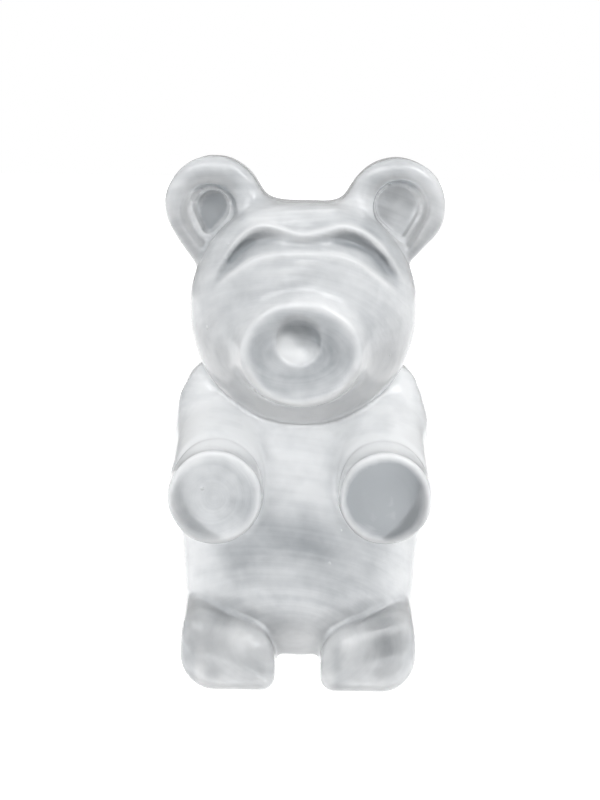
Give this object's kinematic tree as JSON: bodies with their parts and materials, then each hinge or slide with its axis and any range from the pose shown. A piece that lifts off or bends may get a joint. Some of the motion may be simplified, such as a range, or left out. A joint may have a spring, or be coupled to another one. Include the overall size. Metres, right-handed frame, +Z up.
{
  "type": "gummy bear",
  "caption": "Clear jelly sweet in the shape of a standing bear with raised paws, a flat back and flat soles.",
  "frame": {"origin": "on the ground, at the middle of the bear's width and depth", "axes": "+Z up through the ears, -Y is the way the face looks, +Y out of the flat back, +X to the right of a viewer who faces the bear"},
  "size_m": [0.0116, 0.009, 0.0217],
  "materials": {
    "jelly": "clear, faintly milky set jelly with a cool grey-white tint and a soft oiled gloss"
  },
  "bodies": {
    "root": {"bear": "jelly"}
  },
  "joints": []
}
